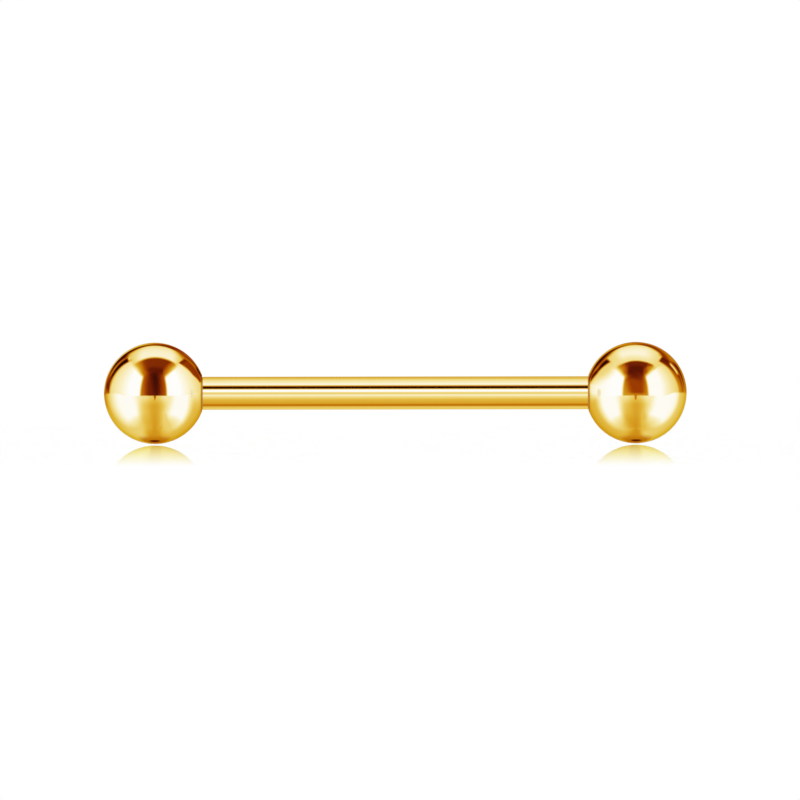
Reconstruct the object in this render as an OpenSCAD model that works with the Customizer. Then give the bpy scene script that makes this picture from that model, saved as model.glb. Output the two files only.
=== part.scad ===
// Straight piercing barbell with two ball ends, internally threaded.
// The bar is tapped at both ends. Each ball is one turned piece with its threaded stem,
// and screws into the bar until its flat seat meets the bar's end.
// The bar lies along X above the plane z = 0, on which both balls rest. Millimetres.

/* [Bar] */
// Diameter of the bar, 14 gauge
bar_d = 1.63; // [1.6:0.01:2]
// Length of bar between the two seats, 3/4 inch
wear_length = 19.05; // [10:0.05:40]
// Bevel that breaks the outer edge of each bar end
end_bevel = 0.04; // [0.02:0.01:0.06]

/* [Ball ends] */
// Diameter of each ball
ball_d = 5; // [3:0.5:8]
// Diameter of the flat seat that is turned on the ball around its stem
seat_d = 1.75; // [1.7:0.01:2.2]
// Gap between a tightened seat and the bar's end
seat_gap = 0.02; // [0.01:0.01:0.05]

/* [Stem and tapped hole] */
// Outer diameter of the stem's thread
stem_d = 1.16; // [1:0.01:1.2]
// Pitch of the thread
pitch = 0.25; // [0.2:0.05:0.3]
// Number of thread ridges on each stem
ridges = 9; // [5:1:9]
// Clearance on the radius between the thread ridges and the wall of the tapped hole
thread_play = 0.03; // [0.02:0.01:0.05]
// Depth of each tapped hole, up to its drill point
hole_depth = 3.2; // [3.2:0.1:4.5]
// Countersink at the mouth of each tapped hole
hole_bevel = 0.06; // [0.03:0.01:0.06]

/* [Hidden] */
$fn = 96;

gold = "#D9A42B";
stem_gold = "#C98F22";

bar_r = bar_d / 2;
ball_r = ball_d / 2;
stem_r = stem_d / 2;
hole_r = stem_r + thread_play;

// The seat is a flat cut square across the ball, so this is how far it lies from the ball's centre.
seat_to_centre = sqrt(pow(ball_r, 2) - pow(seat_d / 2, 2));
seat_x = wear_length / 2;
bar_half = seat_x - seat_gap;

// A 118 degree drill leaves this cone at the bottom of each hole.
drill_angle = 118;
drill_point = hole_r / tan(drill_angle / 2);

// The metric thread form: a crest an eighth of the pitch wide, a root a quarter wide, and flanks between.
thread_angle = 60;
crest = pitch / 8;
root = pitch / 4;
flank = (pitch - crest - root) / 2;
thread_depth = flank / tan(thread_angle / 2);
root_r = stem_r - thread_depth;

// A plain neck between the seat and the first ridge, and a tapered lead at the tip.
neck = 0.2;
lead = 0.15;
stem_length = neck + ridges * pitch + lead;
tip_r = root_r - lead / 2;

// The stem's section starts this far inside the ball, with which it is one piece.
sink = 0.5;

// Half of the bar's section, as radius and height: bevelled edge, countersink, tapped hole and drill point.
bar_end = [
    [bar_r, bar_half - end_bevel],
    [bar_r - end_bevel, bar_half],
    [hole_r + hole_bevel, bar_half],
    [hole_r, bar_half - hole_bevel],
    [hole_r, bar_half - hole_depth],
    [0, bar_half - hole_depth - drill_point]
];

// The same half section at the bar's other end, listed the other way round to close the outline.
function mirrored(points) = [for (i = [len(points) - 1 : -1 : 0]) [points[i][0], -points[i][1]]];

// One thread ridge, whose root begins at height h, listed downwards towards the tip.
function ridge(h) = [
    [root_r, h - root / 2],
    [stem_r, h - root / 2 - flank],
    [stem_r, h - root / 2 - flank - crest],
    [root_r, h - pitch + root / 2]
];

// Half of the stem's section, from inside the ball down past the seat, at height 0, to the tip.
stem_section = concat(
    [[0, sink], [root_r, sink]],
    [for (i = [0 : ridges - 1]) each ridge(-neck - i * pitch)],
    [[root_r, lead - stem_length], [tip_r, -stem_length], [0, -stem_length]]
);

// Turns a section about the bar's axis. Height in the section runs along +X from the given place.
module turned(x) {
    translate([x, 0, ball_r])
        rotate([0, 90, 0])
            rotate_extrude()
                children();
}

module bar() {
    color(gold)
        turned(0)
            polygon(concat(bar_end, mirrored(bar_end)));
}

// The ball end on the +X side: a sphere cut flat at the seat, with the stem pointing back into the bar.
module ball_end() {
    color(gold)
        turned(seat_x)
            intersection() {
                translate([0, seat_to_centre]) circle(r = ball_r);
                square([ball_d, 2 * ball_d]);
            }
    color(stem_gold)
        turned(seat_x)
            polygon(stem_section);
}

module right_ball() {
    ball_end();
}

// The same piece, turned round to face the bar's other end.
module left_ball() {
    rotate([0, 0, 180]) ball_end();
}

bar();
left_ball();
right_ball();
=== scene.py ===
"""A straight piercing barbell in polished gold: a bar and two ball ends that screw into it.

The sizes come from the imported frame, and what its boxes don't give is named below in millimetres.
Each ball and the bar mirror a studio of their own, because polished metal looks like what stands
round it. A studio is a wide dome whose cards and strips light one piece alone.
"""

import logging
import math
from dataclasses import dataclass, field, replace
from enum import Enum

import bpy
import numpy as np
from bpy.types import Camera, Material, Mesh, Node, NodeSocket, NodeTree, Object
from mathutils import Matrix, Vector


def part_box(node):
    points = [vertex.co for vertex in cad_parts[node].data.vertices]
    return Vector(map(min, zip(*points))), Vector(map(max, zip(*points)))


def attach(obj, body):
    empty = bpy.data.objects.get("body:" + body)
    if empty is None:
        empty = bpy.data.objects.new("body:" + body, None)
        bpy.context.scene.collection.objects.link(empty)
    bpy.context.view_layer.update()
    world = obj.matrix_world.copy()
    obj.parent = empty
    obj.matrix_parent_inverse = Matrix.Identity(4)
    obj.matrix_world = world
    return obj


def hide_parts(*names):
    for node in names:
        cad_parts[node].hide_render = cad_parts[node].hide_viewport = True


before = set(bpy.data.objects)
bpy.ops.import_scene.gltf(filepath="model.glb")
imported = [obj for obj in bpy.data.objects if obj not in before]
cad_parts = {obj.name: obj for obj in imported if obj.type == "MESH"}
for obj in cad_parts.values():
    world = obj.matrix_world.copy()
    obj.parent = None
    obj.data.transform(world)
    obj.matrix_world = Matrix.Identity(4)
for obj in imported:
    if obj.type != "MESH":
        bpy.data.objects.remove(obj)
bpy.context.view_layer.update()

log = logging.getLogger("barbell")

Array = np.ndarray
Colour = tuple[float, float, float]

MM = 0.001
# Points closer than this are one point.
WELD = 1e-9


def smooth_step(low: float, high: float, value: Array) -> Array:
    """Rises from 0 to 1 between two limits as 3t^2 - 2t^3, and stays level outside them."""
    t = np.clip((value - low) / (high - low), 0.0, 1.0)
    return t * t * (3.0 - 2.0 * t)


def fade(level: Array, target: Array | float, mask: Array) -> Array:
    """Moves levels towards a target by a mask from 0 to 1."""
    return level + (target - level) * mask


def eased(corners: Array, sizes: Array) -> Array:
    """Rounds the corners of an outline.

    Each corner C becomes the curve (1-t)^2 A + 2t(1-t) C + t^2 B, where A and B lie its size away
    along its two edges. One more point on each edge, a little further out, keeps the flats flat.

    Args:
        corners: places along the axis and radii, one row a corner.
        sizes: the size of each corner's round.

    Returns:
        The rounded outline, one row a point.
    """
    steps = 7
    support = 1.3
    before = np.roll(corners, 1, axis=0) - corners
    after = np.roll(corners, -1, axis=0) - corners
    before[0] = 0.0
    after[-1] = 0.0
    before *= (sizes / np.maximum(np.linalg.norm(before, axis=1), WELD))[:, None]
    after *= (sizes / np.maximum(np.linalg.norm(after, axis=1), WELD))[:, None]
    t = np.linspace(0.0, 1.0, steps)[None, :, None]
    curve = corners[:, None] + (1.0 - t) ** 2 * before[:, None] + t ** 2 * after[:, None]
    first = (corners + support * before)[:, None]
    last = (corners + support * after)[:, None]
    return np.concatenate([first, curve, last], axis=1).reshape(-1, 2)


def grid_cells(rows: int, columns: int) -> Array:
    """The cells of a grid whose points are numbered row by row.

    Args:
        rows: number of rows of points.
        columns: number of points in a row.

    Returns:
        The numbers of each cell's four corners in order round it, one row a cell.
    """
    index = np.arange(rows * columns).reshape(rows, columns)
    corners = [index[:-1, :-1], index[:-1, 1:], index[1:, 1:], index[1:, :-1]]
    return np.stack(corners, axis=-1).reshape(-1, 4)


def shown(name: str, data: Mesh | Camera) -> Object:
    """Puts a mesh or a camera into the scene.

    Args:
        name: the object's name.
        data: the mesh or camera.

    Returns:
        The object, at the origin.
    """
    thing = bpy.data.objects.new(name, data)
    bpy.context.scene.collection.objects.link(thing)
    return thing


@dataclass(frozen=True)
class Rings:
    """Rows of a turned surface: places along the axis and radii, one row a ring, one column an angle."""

    x: Array
    radius: Array

    @staticmethod
    def plain(outline: Array, columns: int) -> "Rings":
        """Carries an outline round the axis unchanged: x and radius are the same at every angle."""
        around = np.ones(columns + 1)
        return Rings(outline[:, :1] * around, outline[:, 1:] * around)

    def then(self, other: "Rings") -> "Rings":
        """Puts another stretch of rings after this one."""
        return Rings(np.concatenate([self.x, other.x]), np.concatenate([self.radius, other.radius]))


@dataclass(frozen=True)
class Surface:
    """Triangles round a piece, in metres."""

    points: Array
    faces: Array

    @staticmethod
    def turned(rings: Rings, axis_height: float) -> "Surface":
        """Places rings about the bar's axis.

        Row i and column k give the point (x, r cos a, height + r sin a) with a = 2 pi k / columns.
        The last column repeats the first.

        Args:
            rings: the rows to place.
            axis_height: height of the axis above the floor.

        Returns:
            The surface, not yet welded.
        """
        angle = np.linspace(0.0, 2.0 * math.pi, rings.x.shape[1])
        points = np.stack([
            rings.x,
            rings.radius * np.cos(angle),
            axis_height + rings.radius * np.sin(angle),
        ], axis=-1)
        cells = grid_cells(*rings.x.shape)
        return Surface(points.reshape(-1, 3), np.concatenate([cells[:, [0, 1, 2]], cells[:, [0, 2, 3]]]))

    def turned_round(self) -> "Surface":
        """Turns the surface half a turn about Z, from one end of the barbell to the other."""
        return Surface(self.points * np.array([-1.0, -1.0, 1.0]), self.faces)

    def joined(self, other: "Surface") -> "Surface":
        """Puts another surface's triangles beside this one's."""
        faces = np.concatenate([self.faces, other.faces + len(self.points)])
        return Surface(np.concatenate([self.points, other.points]), faces)

    def welded(self) -> "Surface":
        """Closes the surface and faces it outwards.

        Points that lie in one place are merged, and the triangles that this flattens are dropped.
        The rest face outwards when the sum of a . (b x c) over their corners is positive.

        Returns:
            The closed surface.
        """
        places = np.round(self.points / WELD)
        _, first, same = np.unique(places, axis=0, return_index=True, return_inverse=True)
        faces = same.reshape(-1)[self.faces]
        whole = (faces != np.roll(faces, 1, axis=1)).all(axis=1)
        points, faces = self.points[first], faces[whole]
        a, b, c = points[faces[:, 0]], points[faces[:, 1]], points[faces[:, 2]]
        volume = (a * np.cross(b, c)).sum()
        return Surface(points, faces if volume > 0.0 else faces[:, ::-1])

    def centres(self) -> Array:
        """The middle of each triangle."""
        return self.points[self.faces].mean(axis=1)

    def mesh(self, name: str) -> Mesh:
        """Puts the surface into a Blender mesh, smooth apart from its sharp edges.

        Args:
            name: the mesh's name.

        Returns:
            The mesh.
        """
        sharp_angle = math.radians(32.0)
        count = len(self.faces)
        mesh = bpy.data.meshes.new(name)
        mesh.vertices.add(len(self.points))
        mesh.vertices.foreach_set("co", self.points.astype(np.float32).ravel())
        mesh.loops.add(3 * count)
        mesh.loops.foreach_set("vertex_index", self.faces.astype(np.int32).ravel())
        mesh.polygons.add(count)
        mesh.polygons.foreach_set("loop_start", np.arange(0, 3 * count, 3, dtype=np.int32))
        mesh.polygons.foreach_set("use_smooth", np.ones(count, dtype=bool))
        mesh.update(calc_edges=True)
        mesh.validate()
        mesh.set_sharp_from_angle(angle=sharp_angle)
        return mesh


@dataclass(frozen=True)
class Plan:
    """Where the pieces lie, worked out from the frame's boxes.

    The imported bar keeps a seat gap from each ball. The bar that is shown closes it to a hair.
    """

    axis_height: float
    bar_radius: float
    bar_half: float
    ball_pole: float
    seat_gap: float = 0.02 * MM
    shown_gap: float = 0.004 * MM

    @staticmethod
    def from_frame() -> "Plan":
        """Reads the bar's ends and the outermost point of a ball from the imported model.

        Returns:
            The plan.
        """
        bar_low, bar_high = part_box("bar")
        _, ball_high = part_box("right_ball")
        return Plan(
            axis_height=(bar_low.z + bar_high.z) / 2.0,
            bar_radius=(bar_high.z - bar_low.z) / 2.0,
            bar_half=bar_high.x,
            ball_pole=ball_high.x,
        )

    @property
    def ball_radius(self) -> float:
        """A ball's radius, which is the height of the axis because both balls rest on the floor."""
        return self.axis_height

    @property
    def ball_centre(self) -> float:
        """Distance of a ball's centre from the middle of the bar."""
        return self.ball_pole - self.ball_radius

    @property
    def seat(self) -> float:
        """Distance of a ball's flat seat from the middle of the bar."""
        return self.bar_half + self.seat_gap

    @property
    def seat_radius(self) -> float:
        """Radius of the flat seat, cut square across the ball."""
        return math.sqrt(self.ball_radius ** 2 - (self.ball_centre - self.seat) ** 2)

    @property
    def bar_end(self) -> float:
        """Distance of the bar's end face from its middle, a hair short of the seat."""
        return self.seat - self.shown_gap


@dataclass(frozen=True)
class Thread:
    """A fine right-hand thread: flat roots and crests with straight flanks between them.

    Sizes are radii and depths below the seat. One turn of the form is a root, a flank, a crest
    and a flank, in sixteenths of the pitch.
    """

    pitch: float = 0.25 * MM
    root: float = 0.4447 * MM
    crest: float = 0.58 * MM
    first_root: float = 0.2 * MM
    turn_corners: tuple[float, ...] = (0.0, 2.0 / 16.0, 7.0 / 16.0, 9.0 / 16.0, 14.0 / 16.0)
    corner_heights: tuple[float, ...] = (0.0, 0.0, 1.0, 1.0, 0.0)

    def rings(self, seat: float, start: float, end: float, play: float, columns: int) -> Rings:
        """Winds the thread between two depths.

        The row at turn t has depth first_root + pitch (t - a / 2 pi) at the angle a, held between
        start and end. Its radius is that of the form at t, widened by the play, and it fades into
        a plain wall over the last half turn at each end: into the root of a stem, which has no
        play, and into the crest of a tapped hole.

        Args:
            seat: where the seat lies along the axis.
            start: depth at which the thread starts.
            end: depth at which it ends.
            play: clearance of a hole's thread round the stem's, 0 for the stem itself.
            columns: number of points round a ring.

        Returns:
            The thread's rings, from the seat inwards.
        """
        first = math.floor((start - self.first_root) / self.pitch)
        last = math.ceil((end - self.first_root) / self.pitch) + 1
        whole = np.arange(first, last)
        turn = (whole[:, None] + np.array(self.turn_corners)).reshape(-1, 1)
        height = np.tile(self.corner_heights, len(whole)).reshape(-1, 1)
        angle = np.linspace(0.0, 1.0, columns + 1)[None, :]
        depth = np.clip(self.first_root + self.pitch * (turn - angle), start, end)
        wall = self.root if play == 0.0 else self.crest + play
        full = self.root + play + (self.crest - self.root) * height
        run = self.pitch / 2.0
        present = smooth_step(start, start + run, depth) * (1.0 - smooth_step(end - run, end, depth))
        return Rings(seat - depth, wall + present * (full - wall))


class Marks(Enum):
    """How a finish was worked, which says which fine marks it carries."""

    POLISHED = "polished"
    TURNED = "turned"


class Wiring:
    """A node tree while it is being wired. Where a method takes a value, it takes a socket as well."""

    def __init__(self, tree: NodeTree) -> None:
        """Keeps the tree."""
        self.tree = tree

    def add(self, kind: str, inputs: dict | None = None, **settings: object) -> Node:
        """Adds a node, sets its options and fills its inputs.

        Args:
            kind: the node's type, without the words ShaderNode in front of it.
            inputs: what each input takes, a socket to link or a value to set, by name or number.
            settings: options of the node.

        Returns:
            The node.
        """
        node = self.tree.nodes.new("ShaderNode" + kind)
        for name, value in settings.items():
            setattr(node, name, value)
        for key, value in (inputs or {}).items():
            self.feed(node.inputs[key], value)
        return node

    def feed(self, socket: NodeSocket, value: object) -> None:
        """Links a socket or sets its value.

        Args:
            socket: the input.
            value: the socket to link it to, or the value to set.
        """
        if isinstance(value, NodeSocket):
            self.tree.links.new(value, socket)
        else:
            socket.default_value = value

    def effect(self, group: NodeTree, inputs: dict) -> dict[str, NodeSocket]:
        """Places an effect's group with this material's own values and gives its outputs by name."""
        return dict(self.add("Group", inputs, node_tree=group).outputs.items())

    def maths(self, operation: str, first: object, second: object) -> NodeSocket:
        """Combines two values."""
        return self.add("Math", {0: first, 1: second}, operation=operation).outputs[0]

    def vectors(self, operation: str, first: object, second: object) -> NodeSocket:
        """Combines two vectors into a third."""
        return self.add("VectorMath", {0: first, 1: second}, operation=operation).outputs["Vector"]

    def distance(self, first: object, second: object) -> NodeSocket:
        """Measures the distance between two points."""
        return self.add("VectorMath", {0: first, 1: second}, operation="DISTANCE").outputs["Value"]

    def blend(self, share: object, first: object, second: object) -> NodeSocket:
        """Mixes two colours, which are the node's inputs 6 and 7, by the second one's share."""
        return self.add("Mix", {0: share, 6: first, 7: second}, data_type="RGBA").outputs[2]

    def mapped(self, value: object, zero_at: object, one_at: object, **settings: object) -> NodeSocket:
        """Maps a value to 0 at one limit, to 1 at the other and evenly between, whichever is lower."""
        limits = {"Value": value, "From Min": zero_at, "From Max": one_at}
        return self.add("MapRange", limits, **settings).outputs["Result"]

    def eased(self, value: object, zero_at: object, one_at: object) -> NodeSocket:
        """Eases a value from 0 at one limit to 1 at the other."""
        return self.mapped(value, zero_at, one_at, interpolation_type="SMOOTHSTEP")

    def place(self) -> NodeSocket:
        """The point on the piece, in metres."""
        return self.add("TexCoord").outputs["Object"]

    def streaks(self, place: object, along: object, across: object, detail: float) -> NodeSocket:
        """Makes noise whose patches have one length in X and another in Y and Z.

        Args:
            place: the point at which to read it.
            along: length of a patch in X.
            across: length of a patch in Y and Z.
            detail: number of finer layers.

        Returns:
            The noise's socket, from 0 to 1.
        """
        length = self.add("CombineXYZ", {"X": along, "Y": across, "Z": across}).outputs[0]
        spread = self.vectors("DIVIDE", place, length)
        return self.add("TexNoise", {"Vector": spread, "Scale": 1.0, "Detail": detail}).outputs["Fac"]

    def off_axis(self, axis_height: object) -> tuple[NodeSocket, NodeSocket]:
        """Measures where a point lies about the bar's axis.

        Args:
            axis_height: height of the axis.

        Returns:
            The distance from the middle of the bar along the axis, and the distance from the axis.
        """
        place = self.add("SeparateXYZ", {0: self.place()}).outputs
        aside = self.add("CombineXYZ", {"Y": place["Y"], "Z": place["Z"]}).outputs[0]
        axis = self.add("CombineXYZ", {"Z": axis_height}).outputs[0]
        return self.maths("ABSOLUTE", place["X"], 0.0), self.distance(aside, axis)


FLOAT = "NodeSocketFloat"
COLOUR = "NodeSocketColor"


def effect_group(name: str, inputs: dict, output: str, kind: str) -> tuple[Wiring, dict, NodeSocket]:
    """Starts a node group for an effect that several finishes use.

    Args:
        name: the group's name.
        inputs: each input's name with its value, a number or a colour.
        output: the output's name.
        kind: the output's socket type.

    Returns:
        The group's wiring, its inputs as sockets inside it by name, and its output as one.
    """
    tree = bpy.data.node_groups.new(name, "ShaderNodeTree")
    for label, value in inputs.items():
        input_kind = COLOUR if isinstance(value, tuple) else FLOAT
        socket = tree.interface.new_socket(label, in_out="INPUT", socket_type=input_kind)
        socket.default_value = value
    tree.interface.new_socket(output, in_out="OUTPUT", socket_type=kind)
    start = tree.nodes.new("NodeGroupInput")
    end = tree.nodes.new("NodeGroupOutput")
    return Wiring(tree), dict(start.outputs.items()), end.inputs[output]


def film_group() -> NodeTree:
    """The gold film's faint drift between two tones, in soft patches.

    Returns:
        The group.
    """
    wiring, given, colour = effect_group(
        "film_tone",
        {
            "Tone": (1.0, 1.0, 1.0, 1.0),
            "Deeper Tone": (0.9, 0.9, 0.9, 1.0),
            "Patch Size": 1.0 * MM,
        },
        "Colour",
        COLOUR,
    )
    patches = wiring.streaks(wiring.place(), given["Patch Size"], given["Patch Size"], detail=3.0)
    wiring.feed(colour, wiring.blend(patches, given["Tone"], given["Deeper Tone"]))
    return wiring.tree


def wave_group() -> NodeTree:
    """The shallow waves that polishing leaves, longer along the bar's axis than round it.

    Returns:
        The group.
    """
    wiring, given, height = effect_group(
        "polish_waves",
        {
            "Wave Size": 1.0 * MM,
            "Stretch": 1.0,
            "Wave Height": 1e-6,
        },
        "Height",
        FLOAT,
    )
    along = wiring.maths("MULTIPLY", given["Wave Size"], given["Stretch"])
    waves = wiring.streaks(wiring.place(), along, given["Wave Size"], detail=1.0)
    wiring.feed(height, wiring.maths("MULTIPLY", waves, given["Wave Height"]))
    return wiring.tree


def hairline_group() -> NodeTree:
    """The hairlines of a polishing mop: long thin strokes that cross in two directions.

    Each set of strokes runs along X after a rotation by three angles in radians.

    Returns:
        The group.
    """
    turns = (0.5, 0.3, 0.4), (-0.6, 0.9, -0.7)
    boldest = 0.9
    wiring, given, mask = effect_group(
        "polish_hairlines",
        {
            "Line Width": 0.02 * MM,
            "Line Length": 1.0 * MM,
            "Share": 0.2,
        },
        "Mask",
        FLOAT,
    )
    strokes = []
    for turn in turns:
        inputs = {"Vector": wiring.place(), "Rotation": turn}
        turned = wiring.add("VectorRotate", inputs, rotation_type="EULER_XYZ").outputs[0]
        strokes.append(wiring.streaks(turned, given["Line Length"], given["Line Width"], detail=0.0))
    strongest = wiring.maths("MAXIMUM", *strokes)
    limit = wiring.maths("SUBTRACT", boldest, given["Share"])
    wiring.feed(mask, wiring.mapped(strongest, limit, boldest))
    return wiring.tree


def ring_group() -> NodeTree:
    """The rings that a lathe leaves round the bar's axis, uneven in depth.

    They lie on walls and on flat faces alike, because they go by x + radius.

    Returns:
        The group.
    """
    wiring, given, mask = effect_group(
        "turning_rings",
        {
            "Axis Height": 0.0,
            "Ring Width": 0.03 * MM,
        },
        "Mask",
        FLOAT,
    )
    along, radius = wiring.off_axis(given["Axis Height"])
    count = wiring.maths("DIVIDE", wiring.maths("ADD", along, radius), given["Ring Width"])
    noise = wiring.add("TexNoise", {"W": count, "Scale": 1.0, "Detail": 2.0}, noise_dimensions="1D")
    wiring.feed(mask, noise.outputs["Fac"])
    return wiring.tree


def joint_group() -> NodeTree:
    """The warm shade in the narrow joint between a ball and the bar, where gold mirrors gold.

    Returns:
        The group.
    """
    wiring, given, mask = effect_group(
        "joint_shade",
        {
            "Axis Height": 0.0,
            "Seat": 10.0 * MM,
            "Width": 0.1 * MM,
            "Inner Radius": 0.5 * MM,
            "Outer Radius": 1.0 * MM,
        },
        "Mask",
        FLOAT,
    )
    along, radius = wiring.off_axis(given["Axis Height"])
    away = wiring.maths("ABSOLUTE", wiring.maths("SUBTRACT", along, given["Seat"]), 0.0)
    near = wiring.maths("SUBTRACT", 1.0, wiring.eased(away, 0.0, given["Width"]))
    outside = wiring.eased(radius, given["Inner Radius"], given["Outer Radius"])
    wiring.feed(mask, wiring.maths("MULTIPLY", near, outside))
    return wiring.tree


def recess_group() -> NodeTree:
    """The shade in a thread's grooves and down a tapped hole, by the way from the bar's axis and ends.

    Returns:
        The group.
    """
    wiring, given, mask = effect_group(
        "recess_shade",
        {
            "Axis Height": 0.0,
            "Open Radius": 1.0 * MM,
            "Closed Radius": 0.5 * MM,
            "Radius Share": 0.5,
            "Mouth": 10.0 * MM,
            "Reach": 1.0 * MM,
            "Depth Share": 1.0,
        },
        "Mask",
        FLOAT,
    )
    along, radius = wiring.off_axis(given["Axis Height"])
    closed = wiring.mapped(radius, given["Open Radius"], given["Closed Radius"])
    deep = wiring.mapped(wiring.maths("SUBTRACT", given["Mouth"], along), 0.0, given["Reach"])
    open_aside = wiring.maths("SUBTRACT", 1.0, wiring.maths("MULTIPLY", closed, given["Radius Share"]))
    open_above = wiring.maths("SUBTRACT", 1.0, wiring.maths("MULTIPLY", deep, given["Depth Share"]))
    light = wiring.maths("MULTIPLY", open_aside, open_above)
    wiring.feed(mask, wiring.maths("SUBTRACT", 1.0, light))
    return wiring.tree


@dataclass(frozen=True)
class Effects:
    """The node groups that the finishes share."""

    joint: NodeTree
    recess: NodeTree
    film: NodeTree
    waves: NodeTree
    hairlines: NodeTree
    rings: NodeTree

    @staticmethod
    def build() -> "Effects":
        """Makes each group once."""
        makers = joint_group, recess_group, film_group, wave_group, hairline_group, ring_group
        return Effects(*(maker() for maker in makers))


# Polished gold film, as the share of red, green and blue light that it mirrors.
GOLD: Colour = (0.94, 0.64, 0.19)


@dataclass(frozen=True)
class Recess:
    """Where little light reaches: between the ridges of a thread, and down a hole from its mouth.

    The shade deepens from the open radius, which the light reaches, to the closed one.
    """

    open_radius: float
    closed_radius: float
    radius_share: float
    depth_share: float
    reach: float = 0.9 * MM
    colour: Colour = (0.34, 0.10, 0.002)

    def mask(self, wiring: Wiring, effects: Effects, plan: Plan) -> NodeSocket:
        """Places the group that finds the recess.

        Args:
            wiring: the material's wiring.
            effects: the node groups.
            plan: where the pieces lie.

        Returns:
            The socket of its mask.
        """
        return wiring.effect(effects.recess, {
            "Axis Height": plan.axis_height,
            "Open Radius": self.open_radius,
            "Closed Radius": self.closed_radius,
            "Radius Share": self.radius_share,
            "Mouth": plan.bar_end,
            "Reach": self.reach,
            "Depth Share": self.depth_share,
        })["Mask"]


@dataclass(frozen=True)
class JointShade:
    """Where gold mirrors gold in the joint between a ball's seat and the bar's end."""

    width: float
    inner_radius: float
    outer_radius: float
    colour: Colour = (0.50, 0.15, 0.01)

    def mask(self, wiring: Wiring, effects: Effects, plan: Plan) -> NodeSocket:
        """Places the group that finds the joint.

        Args:
            wiring: the material's wiring.
            effects: the node groups.
            plan: where the pieces lie.

        Returns:
            The socket of its mask.
        """
        return wiring.effect(effects.joint, {
            "Axis Height": plan.axis_height,
            "Seat": plan.seat,
            "Width": self.width,
            "Inner Radius": self.inner_radius,
            "Outer Radius": self.outer_radius,
        })["Mask"]


@dataclass(frozen=True)
class GoldFinish:
    """A gold film on titanium, worked to some smoothness."""

    name: str
    marks: Marks
    roughness: float
    mark_roughness: float
    mark_depth: float
    wave_size: float
    wave_stretch: float
    wave_height: float
    tone: Colour = GOLD
    deeper: Colour = (0.93, 0.62, 0.175)
    edge_tint: Colour = (0.78, 0.53, 0.16)
    patch_size: float = 1.6 * MM
    ring_width: float = 0.03 * MM
    line_width: float = 0.015 * MM
    line_length: float = 0.9 * MM
    line_share: float = 0.22
    shade: Recess | JointShade | None = None

    def material(self, effects: Effects, plan: Plan) -> Material:
        """Wires the finish.

        Args:
            effects: the node groups to place in it.
            plan: where the pieces lie.

        Returns:
            The material.
        """
        material = bpy.data.materials.new(self.name)
        material.use_nodes = True
        wiring = Wiring(material.node_tree)
        shader = material.node_tree.nodes["Principled BSDF"].inputs
        shader["Metallic"].default_value = 1.0
        shader["Specular Tint"].default_value = (*self.edge_tint, 1.0)
        colour = wiring.effect(effects.film, {
            "Tone": (*self.tone, 1.0),
            "Deeper Tone": (*self.deeper, 1.0),
            "Patch Size": self.patch_size,
        })["Colour"]
        if self.shade is not None:
            mask = self.shade.mask(wiring, effects, plan)
            colour = wiring.blend(mask, colour, (*self.shade.colour, 1.0))
        wiring.feed(shader["Base Color"], colour)
        marks = self.mark_mask(wiring, effects, plan)
        rougher = wiring.maths("MULTIPLY", marks, self.mark_roughness)
        wiring.feed(shader["Roughness"], wiring.maths("ADD", rougher, self.roughness))
        waves = wiring.effect(effects.waves, {
            "Wave Size": self.wave_size,
            "Stretch": self.wave_stretch,
            "Wave Height": self.wave_height,
        })["Height"]
        height = wiring.maths("SUBTRACT", waves, wiring.maths("MULTIPLY", marks, self.mark_depth))
        bump = wiring.add("Bump", {"Height": height, "Distance": 1.0, "Strength": 1.0})
        wiring.feed(shader["Normal"], bump.outputs["Normal"])
        return material

    def mark_mask(self, wiring: Wiring, effects: Effects, plan: Plan) -> NodeSocket:
        """Places the group that draws this finish's marks.

        Args:
            wiring: the material's wiring.
            effects: the node groups.
            plan: where the pieces lie.

        Returns:
            The socket of its mask.
        """
        if self.marks is Marks.TURNED:
            rings = {"Axis Height": plan.axis_height, "Ring Width": self.ring_width}
            return wiring.effect(effects.rings, rings)["Mask"]
        return wiring.effect(effects.hairlines, {
            "Line Width": self.line_width,
            "Line Length": self.line_length,
            "Share": self.line_share,
        })["Mask"]


MIRROR_GOLD = GoldFinish(
    name="mirror_gold",
    marks=Marks.POLISHED,
    roughness=0.045,
    mark_roughness=0.05,
    mark_depth=1e-8,
    wave_size=1.4 * MM,
    wave_stretch=1.0,
    wave_height=4e-7,
    shade=JointShade(width=0.10 * MM, inner_radius=0.80 * MM, outer_radius=0.86 * MM),
)
SEAT_GOLD = replace(
    MIRROR_GOLD,
    name="seat_gold",
    marks=Marks.TURNED,
    roughness=0.14,
    mark_roughness=0.16,
    mark_depth=2e-7,
    ring_width=0.02 * MM,
)
DRAWN_GOLD = GoldFinish(
    name="drawn_gold",
    marks=Marks.TURNED,
    roughness=0.05,
    mark_roughness=0.04,
    mark_depth=1e-8,
    wave_size=1.2 * MM,
    wave_stretch=8.0,
    wave_height=6e-7,
    shade=JointShade(width=0.06 * MM, inner_radius=0.74 * MM, outer_radius=0.80 * MM),
)
TIP_GOLD = GoldFinish(
    name="tip_gold",
    marks=Marks.TURNED,
    roughness=0.16,
    mark_roughness=0.12,
    mark_depth=1.5e-7,
    wave_size=0.5 * MM,
    wave_stretch=1.0,
    wave_height=2e-7,
    tone=(0.92, 0.58, 0.14),
    deeper=(0.87, 0.52, 0.11),
    edge_tint=(0.80, 0.48, 0.06),
    ring_width=0.02 * MM,
)
THREAD_GOLD = replace(
    TIP_GOLD,
    name="thread_gold",
    shade=Recess(
        open_radius=0.58 * MM,
        closed_radius=0.44 * MM,
        radius_share=0.80,
        depth_share=0.0,
    ),
)
BORE_GOLD = replace(
    TIP_GOLD,
    name="bore_gold",
    shade=Recess(
        open_radius=0.47 * MM,
        closed_radius=0.61 * MM,
        radius_share=0.6,
        depth_share=1.0,
        colour=(0.17, 0.05, 0.001),
    ),
)


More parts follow.
